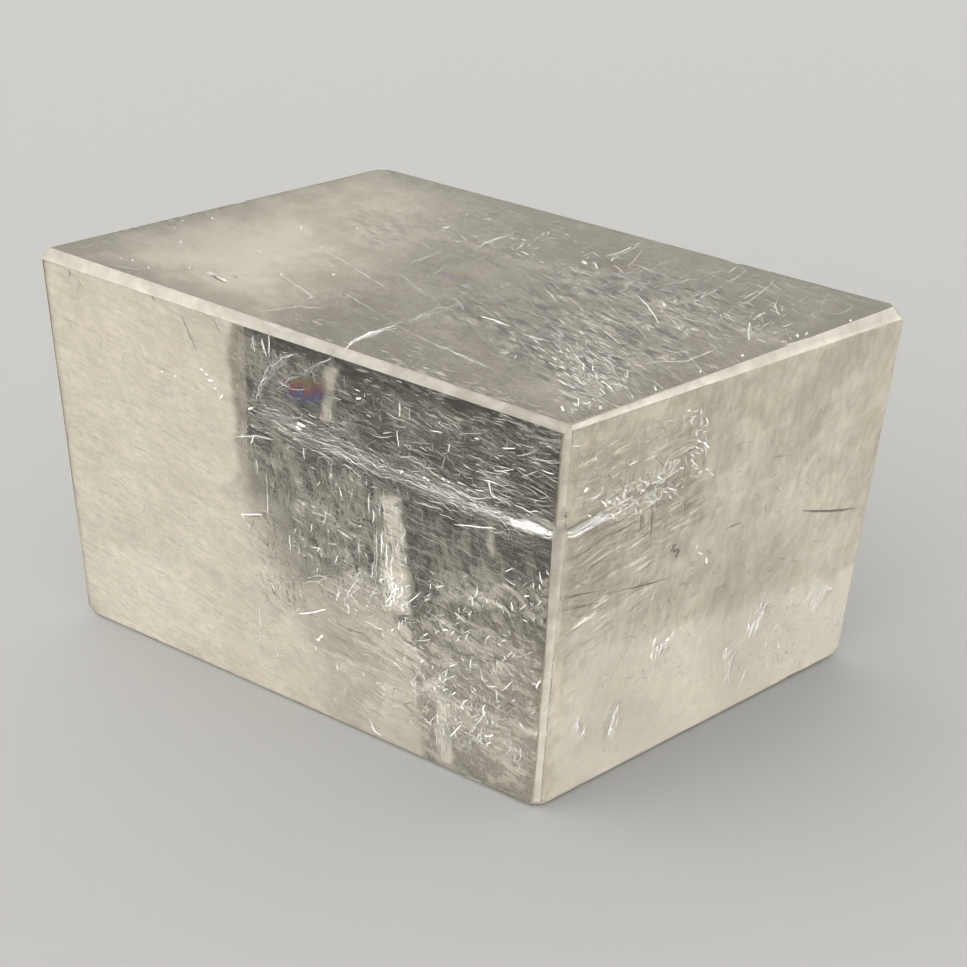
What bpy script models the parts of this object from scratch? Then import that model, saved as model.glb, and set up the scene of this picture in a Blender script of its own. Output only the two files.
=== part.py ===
"""Optical calcite block: one cleavage rhombohedron of clear calcite, lapped, bevelled and polished.

The block is cut the way a lapidary cuts it. A rough piece is ground flat on its six cleavage faces,
then its edges and corners are bevelled, and small chips along the bevels follow the cleavage.
Lengths are in metres and angles in degrees. The base face lies on Z = 0, under the origin.
"""
import math

import bmesh
import bpy
from mathutils import Vector

# Driving dimensions: the three edges that meet at the near top corner
LONG_EDGE = 0.0950       # runs left, to -X
DEEP_EDGE = 0.0673       # runs back
UPRIGHT_EDGE = 0.0780    # runs down to the base

# Calcite's own face angles at that corner
BLUNT_ANGLE = 101.9      # between the long edge and the deep edge
SHARP_ANGLE = 78.1       # between either of them and the upright edge

# How far each lapped face leans off its cleavage plane: sideways, then upwards.
# The base is the reference face and has no lean.
FACE_LEAN = {
    "right": (0.0, -0.3),
    "front": (0.6, -0.9),
    "top": (0.8, 1.05),
    "left": (-0.2, 0.1),
    "back": (-0.3, -0.9),
    "base": (0.0, 0.0),
}

# Width of each bevel's flat at the first and at the second corner of its edge
BEVEL_FLATS = {
    ("top", "front"): (0.0013, 0.0020),
    ("top", "right"): (0.0006, 0.0021),
    ("front", "right"): (0.0009, 0.0010),
    ("top", "left"): (0.0009, 0.0008),
    ("top", "back"): (0.0009, 0.0012),
    ("front", "left"): (0.0008, 0.0010),
    ("right", "back"): (0.0014, 0.0010),
    ("left", "back"): (0.0012, 0.0012),
    ("front", "base"): (0.0009, 0.0007),
    ("right", "base"): (0.0008, 0.0014),
    ("left", "base"): (0.0010, 0.0010),
    ("back", "base"): (0.0011, 0.0009),
}

# Depth of the small facet ground on each corner
CORNER_DEPTHS = {
    ("top", "front", "right"): 0.0006,
    ("top", "front", "left"): 0.0013,
    ("top", "right", "back"): 0.0019,
    ("top", "left", "back"): 0.0012,
    ("front", "right", "base"): 0.0010,
    ("front", "left", "base"): 0.0016,
    ("right", "back", "base"): 0.0018,
    ("left", "back", "base"): 0.0015,
}

# Cleavage chips: edge, place along it (0 to 1), length, and bite into the first and the second face
CHIPS = [
    (("top", "right"), 0.66, 0.0042, 0.0017, 0.0008),
    (("top", "right"), 0.60, 0.0022, 0.0010, 0.0007),
    (("top", "right"), 0.47, 0.0012, 0.0008, 0.0008),
    (("top", "right"), 0.33, 0.0014, 0.0007, 0.0006),
    (("top", "right"), 0.21, 0.0010, 0.0007, 0.0007),
    (("top", "front"), 0.06, 0.0013, 0.0010, 0.0008),
    (("top", "front"), 0.37, 0.0024, 0.0010, 0.0011),
    (("top", "front"), 0.78, 0.0020, 0.0011, 0.0012),
    (("front", "right"), 0.245, 0.0016, 0.0012, 0.0009),
    (("front", "right"), 0.70, 0.0015, 0.0008, 0.0009),
    (("front", "base"), 0.12, 0.0030, 0.0009, 0.0009),
    (("front", "base"), 0.63, 0.0020, 0.0008, 0.0008),
    (("right", "base"), 0.82, 0.0026, 0.0012, 0.0010),
    (("top", "left"), 0.55, 0.0018, 0.0009, 0.0008),
    (("top", "back"), 0.30, 0.0022, 0.0010, 0.0009),
    (("left", "back"), 0.40, 0.0026, 0.0013, 0.0011),
    (("back", "base"), 0.52, 0.0030, 0.0012, 0.0010),
]

CHIP_FLOOR = (0.25, 0.55)    # where a chip's inner line lies, as shares of its two bites
CHIP_SLANT = 0.5             # how far a chip slants across its edge

# The cleavage crack that opens at the front upright edge, and the deeper bevel ground below it
CRACK_PLACE = 0.231      # share of the upright edge above the crack
CRACK_GAP = 0.00025
CRACK_REACH = (0.0070, 0.0065)   # along the front face and along the right face
CRACK_ROOT = (0.35, 0.50)        # its innermost point, as shares of the two reaches
STEP_DEPTH = 0.00035     # how much deeper the front bevel is below the crack
STEP_SHARE = 0.8         # the share of the edge below the crack that has the deeper bevel

SHAPE_NAME = "calcite_block"
CALCITE_COLOUR = (0.88, 0.85, 0.78, 1.0)
CALCITE_ROUGHNESS = 0.04
CALCITE_IOR = 1.60

OPPOSITE = {"left": "right", "back": "front", "base": "top"}
ROUGH_STONE = 0.4        # side of the cube that the faces are ground from
OVERCUT = 0.003          # how far a cutter reaches outside the block


def crystal_edges():
    """The long, deep and upright edges as vectors from the near top corner."""
    blunt = math.radians(BLUNT_ANGLE)
    sharp = math.radians(SHARP_ANGLE)
    long_way = Vector((-1, 0, 0))
    deep_way = Vector((-math.cos(blunt), math.sin(blunt), 0))
    down_x = -math.cos(sharp)
    down_y = (math.cos(sharp) - down_x * deep_way.x) / deep_way.y
    down_way = Vector((down_x, down_y, -math.sqrt(1 - down_x**2 - down_y**2)))
    return long_way * LONG_EDGE, deep_way * DEEP_EDGE, down_way * UPRIGHT_EDGE


def leaned(normal, lean):
    """A face normal turned by its sideways and upward lean."""
    if abs(normal.z) > 0.9:
        sideways = Vector((1, 0, 0))
    else:
        sideways = normal.cross(Vector((0, 0, 1))).normalized()
    upwards = normal.cross(sideways)
    turned = normal + math.radians(lean[0]) * sideways + math.radians(lean[1]) * upwards
    return turned.normalized()


def lapped_faces():
    """Each face as a point at its middle and its outward normal."""
    long_edge, deep_edge, upright_edge = crystal_edges()
    spans = {
        "right": (deep_edge, upright_edge, long_edge),
        "front": (long_edge, upright_edge, deep_edge),
        "top": (long_edge, deep_edge, upright_edge),
    }
    faces = {}
    for name, (side_a, side_b, across) in spans.items():
        normal = side_a.cross(side_b).normalized()
        if normal.dot(across) > 0:
            normal.negate()
        middle = (side_a + side_b) / 2
        faces[name] = (middle, leaned(normal, FACE_LEAN[name]))
        far = next(f for f, near in OPPOSITE.items() if near == name)
        faces[far] = (middle + across, leaned(-normal, FACE_LEAN[far]))
    return faces


def meeting_point(faces, names):
    """The sharp corner where three faces would meet."""
    (point_a, n_a), (point_b, n_b), (point_c, n_c) = [faces[name] for name in names]
    total = point_a.dot(n_a) * n_b.cross(n_c)
    total += point_b.dot(n_b) * n_c.cross(n_a)
    total += point_c.dot(n_c) * n_a.cross(n_b)
    return total / n_a.dot(n_b.cross(n_c))


def edge_ends(faces, pair):
    """The two sharp corners of an edge. The first is nearer the near top corner."""
    ends = []
    for names in CORNER_DEPTHS:
        if set(pair) <= set(names):
            ends.append(meeting_point(faces, names))
    near = meeting_point(faces, ("top", "front", "right"))
    return sorted(ends, key=lambda end: (end - near).length)


def grind(stone, point, normal):
    """Takes off everything outside a plane and closes the cut with one flat face."""
    everything = stone.verts[:] + stone.edges[:] + stone.faces[:]
    cut = bmesh.ops.bisect_plane(
        stone, geom=everything, plane_co=point, plane_no=normal, dist=1e-7, clear_outer=True
    )
    rim = [item for item in cut["geom_cut"] if isinstance(item, bmesh.types.BMEdge)]
    if rim:
        bmesh.ops.holes_fill(stone, edges=rim, sides=0)


def bevel_plane(faces, pair, flats):
    """The plane of a bevel whose flat has one width at each end of its edge."""
    normal_a = faces[pair[0]][1]
    normal_b = faces[pair[1]][1]
    outward = (normal_a + normal_b).normalized()
    half_dihedral = (math.pi - normal_a.angle(normal_b)) / 2
    start, end = edge_ends(faces, pair)
    start = start - outward * flats[0] / (2 * math.tan(half_dihedral))
    end = end - outward * flats[1] / (2 * math.tan(half_dihedral))
    along = (end - start).normalized()
    return start, (outward - along * outward.dot(along)).normalized()


def cut_block(faces):
    """The lapped and bevelled stone, before its chips."""
    stone = bmesh.new()
    bmesh.ops.create_cube(stone, size=ROUGH_STONE)
    for point, normal in faces.values():
        grind(stone, point, normal)
    for pair, flats in BEVEL_FLATS.items():
        grind(stone, *bevel_plane(faces, pair, flats))
    for names, depth in CORNER_DEPTHS.items():
        outward = sum((faces[name][1] for name in names), Vector()).normalized()
        grind(stone, meeting_point(faces, names) - outward * depth, outward)
    return stone


def into_face(faces, face, along, away_from):
    """The direction in a face that leaves an edge at a right angle."""
    inward = faces[face][1].cross(along).normalized()
    return inward if inward.dot(faces[away_from][1]) < 0 else -inward


def add_prism(tool, ring, rise):
    """A closed prism on a ring of points, for a cutter."""
    low = [tool.verts.new(point) for point in ring]
    high = [tool.verts.new(point + rise) for point in ring]
    tool.faces.new(low)
    tool.faces.new(high)
    for i in range(len(ring)):
        j = (i + 1) % len(ring)
        tool.faces.new((low[i], low[j], high[j], high[i]))


def add_chip(tool, faces, chip):
    """A notch whose walls follow the two faces of its edge, with one slanted end as cleavage leaves it."""
    pair, place, length, bite_a, bite_b = chip
    start, end = edge_ends(faces, pair)
    along = (end - start).normalized()
    middle = start.lerp(end, place)
    in_a = into_face(faces, pair[0], along, pair[1])
    in_b = into_face(faces, pair[1], along, pair[0])
    out = (faces[pair[0]][1] + faces[pair[1]][1]).normalized() * OVERCUT
    root = middle - along * length / 2
    lip_a = root + in_a * bite_a
    lip_b = root + in_b * bite_b
    floor = root + in_a * bite_a * CHIP_FLOOR[0] + in_b * bite_b * CHIP_FLOOR[1]
    slant = (in_a * bite_a - in_b * bite_b) * CHIP_SLANT
    add_prism(tool, [lip_a + out, lip_a, floor, lip_b, lip_b + out], along * length + slant)


def crack_corner(faces):
    """Where the crack meets the sharp front edge, and its two ways along the faces."""
    start, end = edge_ends(faces, ("front", "right"))
    corner = start.lerp(end, CRACK_PLACE)
    level = faces["top"][1]
    left_way = level.cross(faces["front"][1]).normalized()
    if left_way.x > 0:
        left_way.negate()
    back_way = level.cross(faces["right"][1]).normalized()
    if back_way.y < 0:
        back_way.negate()
    return corner, left_way, back_way


def add_open_crack(tool, faces):
    """A thin three-cornered slot, parallel to the top face, at the front edge."""
    corner, left_way, back_way = crack_corner(faces)
    outside = (faces["front"][1] + faces["right"][1]).normalized() * OVERCUT
    left_tip = corner + left_way * CRACK_REACH[0]
    right_tip = corner + back_way * CRACK_REACH[1]
    root = corner + left_way * CRACK_REACH[0] * CRACK_ROOT[0]
    root += back_way * CRACK_REACH[1] * CRACK_ROOT[1]
    ring = [corner + outside, left_tip + outside, left_tip, root, right_tip, right_tip + outside]
    add_prism(tool, ring, faces["top"][1] * CRACK_GAP)


def add_bevel_step(tool, faces):
    """The slab that deepens the front bevel below the crack."""
    start, end = edge_ends(faces, ("front", "right"))
    point, normal = bevel_plane(faces, ("front", "right"), BEVEL_FLATS[("front", "right")])
    along = (end - start).normalized()
    across = normal.cross(along).normalized() * OVERCUT
    first = start.lerp(end, CRACK_PLACE)
    first += normal * ((point - first).dot(normal) - STEP_DEPTH)
    outward = normal * OVERCUT
    ring = [first - across, first + across, first + across + outward, first - across + outward]
    add_prism(tool, ring, (end - first) * STEP_SHARE)


def as_object(name, mesh_data):
    """A scene object made from a bmesh, with its faces pointing outwards."""
    bmesh.ops.recalc_face_normals(mesh_data, faces=mesh_data.faces[:])
    mesh = bpy.data.meshes.new(name)
    mesh_data.to_mesh(mesh)
    mesh_data.free()
    made = bpy.data.objects.new(name, mesh)
    bpy.context.scene.collection.objects.link(made)
    return made


def calcite_material():
    """Clear, faintly warm calcite with a good polish."""
    material = bpy.data.materials.new("calcite")
    material.use_nodes = True
    shader = material.node_tree.nodes["Principled BSDF"]
    shader.inputs["Base Color"].default_value = CALCITE_COLOUR
    shader.inputs["Roughness"].default_value = CALCITE_ROUGHNESS
    shader.inputs["Metallic"].default_value = 0.0
    shader.inputs["IOR"].default_value = CALCITE_IOR
    shader.inputs["Transmission Weight"].default_value = 1.0
    return material


def footing(mesh_data):
    """The shift that puts the base on Z = 0 and the origin at the middle of the block's box."""
    lows = [min(v.co[i] for v in mesh_data.verts) for i in range(3)]
    highs = [max(v.co[i] for v in mesh_data.verts) for i in range(3)]
    return Vector((-(lows[0] + highs[0]) / 2, -(lows[1] + highs[1]) / 2, -lows[2]))


def cut_with(block, name, tool, shift):
    """Takes a cutter's shape out of the block. The cutter stays as a wire guide."""
    bmesh.ops.translate(tool, verts=tool.verts[:], vec=shift)
    cutter = as_object(name, tool)
    cutter.hide_render = True
    cutter.display_type = "WIRE"
    cut = block.modifiers.new(name, "BOOLEAN")
    cut.operation = "DIFFERENCE"
    cut.solver = "EXACT"
    cut.object = cutter


def build():
    """Makes the block as one closed solid."""
    for old in list(bpy.data.objects):
        bpy.data.objects.remove(old, do_unlink=True)
    faces = lapped_faces()
    stone = cut_block(faces)
    shift = footing(stone)
    bmesh.ops.translate(stone, verts=stone.verts[:], vec=shift)
    block = as_object(SHAPE_NAME, stone)
    block.data.materials.append(calcite_material())

    step_tool = bmesh.new()
    add_bevel_step(step_tool, faces)
    cut_with(block, "bevel_step", step_tool, shift)
    crack_tool = bmesh.new()
    add_open_crack(crack_tool, faces)
    cut_with(block, "open_crack", crack_tool, shift)
    chip_tool = bmesh.new()
    for chip in CHIPS:
        add_chip(chip_tool, faces, chip)
    cut_with(block, "chips", chip_tool, shift)


build()
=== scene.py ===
import math
import random

import bmesh
import bpy
import numpy as np
from mathutils import Matrix, Vector, noise


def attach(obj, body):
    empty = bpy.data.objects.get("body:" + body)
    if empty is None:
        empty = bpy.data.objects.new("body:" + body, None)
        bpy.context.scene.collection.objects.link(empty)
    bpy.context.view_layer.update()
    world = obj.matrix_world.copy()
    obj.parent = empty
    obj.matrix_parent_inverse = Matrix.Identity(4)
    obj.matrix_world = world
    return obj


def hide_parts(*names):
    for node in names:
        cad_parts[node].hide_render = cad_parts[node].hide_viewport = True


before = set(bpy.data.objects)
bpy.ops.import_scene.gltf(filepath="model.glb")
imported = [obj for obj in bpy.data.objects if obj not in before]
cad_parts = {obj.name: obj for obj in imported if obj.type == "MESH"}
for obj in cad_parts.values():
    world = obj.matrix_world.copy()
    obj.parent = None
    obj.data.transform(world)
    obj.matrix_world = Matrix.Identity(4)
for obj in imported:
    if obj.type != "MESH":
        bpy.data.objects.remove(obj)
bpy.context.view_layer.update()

# The camera: where the photograph was taken from, a hand's length above the stone.
# It is a narrow view, so the stone keeps the photograph's slight perspective.
CAMERA_PLACE = Vector((0.18238, -0.24502, 0.18675))
TURN = math.radians(36.0)
LOOK_DOWN = math.radians(26.53)
ROLL = math.radians(0.94)
VIEW_ANGLE = math.radians(25.07)
PHOTO_SIDE = 967

camera_data = bpy.data.cameras.new("camera")
camera_data.angle = VIEW_ANGLE
camera = bpy.data.objects.new("camera", camera_data)
camera_turn = Matrix.Rotation(TURN, 3, "Z") @ Matrix.Rotation(math.pi / 2 - LOOK_DOWN, 3, "X")
camera_turn = camera_turn @ Matrix.Rotation(ROLL, 3, "Z")
camera.matrix_world = Matrix.Translation(CAMERA_PLACE) @ camera_turn.to_4x4()
bpy.context.scene.collection.objects.link(camera)
bpy.context.scene.camera = camera

# The clear stone: one cleavage rhombohedron of calcite, ground flat on six faces and bevelled.
# Its front, right and top have a full polish. The left and the base are satin, and the back has painted
# shade above its foot: a dark tint that stands in for the dark surroundings seen through the stone. The
# bevels stay as the grinding left them, with small white nicks of wear; they are paler low down, and
# duller where they face the front and by the near corner.
STONE_INDEX = 1.60
WARMTH = (0.90, 0.86, 0.77, 1.0)
WARMTH_DENSITY = 6.5
CLEAR = (1.0, 1.0, 1.0, 1.0)
FROSTED = (0.93, 0.88, 0.78, 1.0)
FINISHES = {
    "polished": {"colour": CLEAR, "rough": 0.02, "clear": 1.0, "wave": 0.00010},
    "satin": {"colour": FROSTED, "rough": 0.40, "clear": 1.0, "wave": 0.00025},
    "shade_painted": {"colour": CLEAR, "rough": 0.12, "clear": 1.0, "wave": 0.00025},
    "ground": {"colour": CLEAR, "rough": 0.40, "clear": 0.55, "wave": 0.00005},
}
FACE_FINISH = {
    "front": "polished", "right": "polished", "top": "polished",
    "left": "satin", "back": "shade_painted", "base": "satin",
}
SAME_PLACE = 1e-6
SAME_FLAT = math.radians(0.2)

# Each noise is its scale, its detail and its roughness, which is a half where it isn't given.
POLISH_WAVES = (60.0, 3.0)
SHADE_NOISE = (90.0, 4.0)
NICKS = (260.0, 6.0, 0.65)

# Painted shade on the back: a dark tint, deepest high up, that stands in for the dark surroundings seen
# through the stone.
SHADE_FOOT_TINT = (0.62, 0.58, 0.50, 1.0)
PAINTED_SHADE_TINT = (0.032, 0.030, 0.026, 1.0)
SHADE_HEIGHTS = (0.017, 0.037)
SHADE_SLANT = 0.30
SHADE_DRIFT = 0.022

# The bevels run between a dull and a white tint: small nicks of wear, and paler low down, duller where they
# face the front and by the near corner.
BEVEL_DULL = (0.40, 0.385, 0.34, 1.0)
BEVEL_WHITE = (0.97, 0.955, 0.92, 1.0)
TO_THE_FRONT = 0.45
FRONT_PALENESS = 0.30
SIDE_PALENESS = 0.78
FOOT_PALENESS = 0.45
FOOT_HEIGHTS = (0.070, 0.005)
CORNER_PALENESS = -0.24
CORNER_REACH = (0.050, 0.0)
NICK_CONTRAST = 1.7


def stone_shape():
    """The CAD solid with its triangles joined into flats, and the plane of each lapped face."""
    shape = bmesh.new()
    shape.from_mesh(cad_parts["calcite_block"].data)
    bmesh.ops.remove_doubles(shape, verts=shape.verts[:], dist=SAME_PLACE)
    bmesh.ops.dissolve_limit(shape, angle_limit=SAME_FLAT, verts=shape.verts[:], edges=shape.edges[:])
    lapped = sorted(shape.faces, key=lambda face: face.calc_area())[-len(FACE_FINISH):]
    named = {
        "right": max(lapped, key=lambda face: face.normal.x),
        "left": min(lapped, key=lambda face: face.normal.x),
        "back": max(lapped, key=lambda face: face.normal.y),
        "front": min(lapped, key=lambda face: face.normal.y),
        "top": max(lapped, key=lambda face: face.normal.z),
        "base": min(lapped, key=lambda face: face.normal.z),
    }
    finish_order = list(FINISHES)
    for face in shape.faces:
        face.material_index = finish_order.index("ground")
    planes = {}
    for name, face in named.items():
        planes[name] = (face.calc_center_median(), face.normal.copy())
        face.material_index = finish_order.index(FACE_FINISH[name])
    mesh = bpy.data.meshes.new("clear_stone")
    shape.to_mesh(mesh)
    shape.free()
    return mesh, planes


def set_values(mesh, name, values, domain="POINT"):
    """Gives each point or flat of a mesh its own value, for the material to read."""
    mesh.attributes.new(name, "FLOAT", domain).data.foreach_set("value", values)


def new_material(name, values):
    """A material, with some of its shader's own values set, its tree, and the shader's inputs."""
    material = bpy.data.materials.new(name)
    material.use_nodes = True
    inputs = material.node_tree.nodes["Principled BSDF"].inputs
    for socket, value in values.items():
        inputs[socket].default_value = value
    return material, material.node_tree, inputs


def add_node(tree, kind, inputs=(), **settings):
    """A node with its settings, and with each named input given a value or joined to a socket."""
    node = tree.nodes.new(kind)
    for name, value in settings.items():
        setattr(node, name, value)
    for name, value in dict(inputs).items():
        if isinstance(value, bpy.types.NodeSocket):
            tree.links.new(value, node.inputs[name])
        else:
            node.inputs[name].default_value = value
    return node


def join(tree, inputs, sources):
    """Joins each named input to the socket that feeds it."""
    for name, source in sources.items():
        tree.links.new(source, inputs[name])


def maths(tree, operation, *values):
    return add_node(tree, "ShaderNodeMath", dict(enumerate(values)), operation=operation).outputs[0]


def vector_maths(tree, operation, *values):
    return add_node(tree, "ShaderNodeVectorMath", dict(enumerate(values)), operation=operation).outputs[0]


def along(tree, place, way):
    """How far a place lies along a way."""
    dot = add_node(tree, "ShaderNodeVectorMath", {0: place, 1: way}, operation="DOT_PRODUCT")
    return dot.outputs["Value"]


def object_place(tree):
    return add_node(tree, "ShaderNodeTexCoord").outputs["Object"]


def on_mesh(tree, name):
    """The value that set_values gave to the mesh."""
    return add_node(tree, "ShaderNodeAttribute", attribute_name=name).outputs["Fac"]


def noise_texture(tree, place, scale, detail, roughness=0.5, ways="3D"):
    inputs = {"Vector": place, "Scale": scale, "Detail": detail, "Roughness": roughness}
    return add_node(tree, "ShaderNodeTexNoise", inputs, noise_dimensions=ways).outputs


def soft_step(tree, value, low, high):
    """A smooth step from 0 at one value to 1 at another."""
    limits = {"Value": value, "From Min": low, "From Max": high}
    return add_node(tree, "ShaderNodeMapRange", limits, interpolation_type="SMOOTHSTEP").outputs["Result"]


def blend(tree, share, first, second):
    """A colour between two others."""
    inputs = {"Factor": share, "A": first, "B": second}
    return add_node(tree, "ShaderNodeMix", inputs, data_type="RGBA").outputs["Result"]


def calcite(name, colour, rough, clear, wave):
    """Calcite with one of its finishes. The polish has long, shallow waves."""
    material, tree, shader = new_material(name + "_calcite", {
        "Base Color": colour, "Roughness": rough, "IOR": STONE_INDEX, "Transmission Weight": clear})
    waves = noise_texture(tree, object_place(tree), *POLISH_WAVES)["Fac"]
    bump = add_node(tree, "ShaderNodeBump", {"Height": waves, "Distance": wave})
    depth = add_node(tree, "ShaderNodeVolumeAbsorption", {"Color": WARMTH, "Density": WARMTH_DENSITY})
    join(tree, shader, {"Normal": bump.outputs["Normal"]})
    join(tree, tree.nodes["Material Output"].inputs, {"Volume": depth.outputs["Volume"]})
    return material


def add_painted_shade(tree):
    """Paints shade into the upper part of a face as a dark tint, and leaves its foot clearer."""
    place = object_place(tree)
    height = along(tree, place, (-SHADE_SLANT, 0.0, 1.0))
    drift = noise_texture(tree, place, *SHADE_NOISE)["Fac"]
    shade_share = soft_step(tree, maths(tree, "MULTIPLY_ADD", drift, SHADE_DRIFT, height), *SHADE_HEIGHTS)
    tint = blend(tree, shade_share, SHADE_FOOT_TINT, PAINTED_SHADE_TINT)
    join(tree, tree.nodes["Principled BSDF"].inputs, {"Base Color": tint})


def mark_paleness(mesh, front):
    """How pale each flat of the stone is: less so on the bevels that turn to the front."""
    ahead = [flat.normal.dot(front) > TO_THE_FRONT for flat in mesh.polygons]
    set_values(mesh, "bevel_paleness", [FRONT_PALENESS if turned else SIDE_PALENESS for turned in ahead], "FACE")


def add_wear_and_paleness(tree, corner):
    """Small white nicks of wear all along the bevels, which are also paler low down and duller by the near
    corner.
    """
    place = object_place(tree)
    foot = soft_step(tree, along(tree, place, (0.0, 0.0, 1.0)), *FOOT_HEIGHTS)
    away = add_node(tree, "ShaderNodeVectorMath", {0: place, 1: corner}, operation="DISTANCE")
    near = soft_step(tree, away.outputs["Value"], *CORNER_REACH)
    nicks = maths(tree, "SUBTRACT", noise_texture(tree, place, *NICKS)["Fac"], 0.5)
    bevel_paleness = on_mesh(tree, "bevel_paleness")
    for cause, share in ((foot, FOOT_PALENESS), (near, CORNER_PALENESS), (nicks, NICK_CONTRAST)):
        bevel_paleness = maths(tree, "MULTIPLY_ADD", cause, share, bevel_paleness)
    bevel_paleness = maths(tree, "MINIMUM", maths(tree, "MAXIMUM", bevel_paleness, 0.0), 1.0)
    tint = blend(tree, bevel_paleness, BEVEL_DULL, BEVEL_WHITE)
    join(tree, tree.nodes["Principled BSDF"].inputs, {"Base Color": tint})


def settle(name, mesh):
    """Links a finished piece and fixes it to the stone."""
    made = bpy.data.objects.new(name, mesh)
    bpy.context.scene.collection.objects.link(made)
    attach(made, "root")
    return made


stone_mesh, face_planes = stone_shape()
mark_paleness(stone_mesh, face_planes["front"][1])
near_corner = max((vertex.co for vertex in stone_mesh.vertices), key=lambda co: co.z + co.x - co.y).copy()
stone = settle("clear_stone", stone_mesh)
finishes = {name: calcite(name, **finish) for name, finish in FINISHES.items()}
# Painted shade on the back face: a dark tint above its foot.
add_painted_shade(finishes["shade_painted"].node_tree)
add_wear_and_paleness(finishes["ground"].node_tree, near_corner)
for finish in finishes.values():
    stone.data.materials.append(finish)
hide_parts("calcite_block")

# The healed partings: broad cleavages that closed again inside the stone, and left milk, a crumpled
# web of lines and small mirror-like steps. One lies close under each polished face. Its zones are
# outlines in pixels of the photograph, each with the width of its soft rim and its strength.
TOP_NORMAL = face_planes["top"][1]
FRONT_NORMAL = face_planes["front"][1]
RIGHT_NORMAL = face_planes["right"][1]
LONG_WAY = TOP_NORMAL.cross(FRONT_NORMAL).normalized()
DEEP_WAY = RIGHT_NORMAL.cross(TOP_NORMAL).normalized()
DOWN_WAY = RIGHT_NORMAL.cross(FRONT_NORMAL).normalized()
SLANT_WAY = (LONG_WAY - 0.2 * DEEP_WAY).normalized()
GLOW_FROM = Vector((0.05, -0.92, 0.35)).normalized()
SIDE_GLOW_FROM = Vector((0.40, -0.88, 0.25)).normalized()
SKIN = 0.0002
FLAT_ENOUGH = 0.00002
SAME_WAY = 0.999
DRAWN_IN = 0.0009
PAST_EDGE = 1.001
SHEET_DEPTH = 0.0010
SHEET_RELIEF = 0.00025
SHEET_SWAY = 0.012
SHEET_CELL = 3.0
ZONE_DRIFT = 6.0
ZONE_DRIFT_SCALE = 0.035
ZONE_DRIFT_SEED = 1
FINE_DRIFT = 0.5
FINE_DRIFT_SCALE = 3


def sight_line(pixel):
    half = PHOTO_SIDE / 2
    reach = half / math.tan(VIEW_ANGLE / 2)
    local = Vector((pixel[0] + 0.5 - half, half - pixel[1] - 0.5, -reach))
    return (camera_turn @ local).normalized()


def bent_in(ray, normal):
    """The way a ray runs on inside the stone, once it has come in through a face."""
    cosine = -ray.dot(normal)
    bent = math.sqrt(1 - (1 - cosine**2) / STONE_INDEX**2)
    return ray / STONE_INDEX + normal * (cosine / STONE_INDEX - bent)


def seen_at(pixel, face, depth):
    """The point that shows at a pixel of the photograph, at a depth under a face."""
    place, normal = face_planes[face]
    ray = sight_line(pixel)
    meets = CAMERA_PLACE + ray * ((place - CAMERA_PLACE).dot(normal) / ray.dot(normal))
    inside = bent_in(ray, normal)
    return meets - inside * (depth / inside.dot(normal))


def glint_way(face, pixel):
    """The way a flat in the stone must face, to mirror the light to the camera."""
    normal = face_planes[face][1]
    light = SIDE_GLOW_FROM if face == "right" else GLOW_FROM
    return -(bent_in(sight_line(pixel), normal) + bent_in(-light, normal)).normalized()


def ground_planes():
    """The planes that bound the stone: its faces, bevels and corners, without the chips and the crack."""
    planes = []
    for flat in stone_mesh.polygons:
        if all((vertex.co - flat.center).dot(flat.normal) < FLAT_ENOUGH for vertex in stone_mesh.vertices):
            planes.append((flat.center.copy(), flat.normal.copy()))
    return planes


STONE_PLANES = ground_planes()


def inside_stone(point):
    return all((point - place).dot(normal) < -SKIN for place, normal in STONE_PLANES)


def drawn_in(point, face):
    """A point of a sheet, moved along the sheet to where the stone ends if it is just outside."""
    sheet = face_planes[face][1]
    start = point.copy()
    for place, normal in STONE_PLANES:
        out = (point - place).dot(normal) + SKIN
        if normal.dot(sheet) < SAME_WAY and out > 0:
            inwards = normal - sheet * normal.dot(sheet)
            point = point - inwards * (out * PAST_EDGE / inwards.dot(normal))
    return point if (point - start).length < DRAWN_IN else start


def in_zones(xs, ys, zones):
    """How much of a kind of mark each pixel has, from the strongest of its zones."""
    total = np.zeros(xs.shape)
    for outline, rim, strength in zones:
        edge = np.full(xs.shape, np.inf)
        inside = np.zeros(xs.shape, dtype=bool)
        for (x0, y0), (x1, y1) in zip(outline, outline[1:] + outline[:1]):
            over, down = x1 - x0, y1 - y0
            share = np.clip(((xs - x0) * over + (ys - y0) * down) / (over**2 + down**2), 0, 1)
            edge = np.minimum(edge, np.hypot(xs - x0 - share * over, ys - y0 - share * down))
            if down:
                inside ^= ((ys < y0) != (ys < y1)) & (xs < x0 + (ys - y0) * over / down)
        part = np.where(inside, np.clip(edge / rim, 0, 1), 0)
        total = np.maximum(total, strength * part * part * (3 - 2 * part))
    return total


def in_patch(corners, upper, lower, down):
    """A place in a four-cornered patch, at shares of its upper side, its lower side and the way down."""
    first, second, third, fourth = (Vector(corner) for corner in corners)
    return first.lerp(second, upper).lerp(fourth.lerp(third, lower), down)


def grid_size(corners, cell):
    """How many cells of a size fit across a patch, and how many down it."""
    start, across, _, down = (Vector(corner) for corner in corners)
    return round((across - start).length / cell), round((down - start).length / cell)


def grid_flats(wide, high, first=0):
    """The corners of each flat of a grid, whose points are numbered row by row."""
    row = wide + 1
    starts = [first + j * row + i for j in range(high) for i in range(wide)]
    return [(start, start + row, start + row + 1, start + 1) for start in starts]


def new_mesh(name, verts, faces, values):
    """A mesh, with values of its own for each kind of mark on its points."""
    mesh = bpy.data.meshes.new(name)
    mesh.from_pydata(verts, [], faces)
    for kind, strengths in values.items():
        set_values(mesh, kind, strengths)
    return mesh


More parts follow.
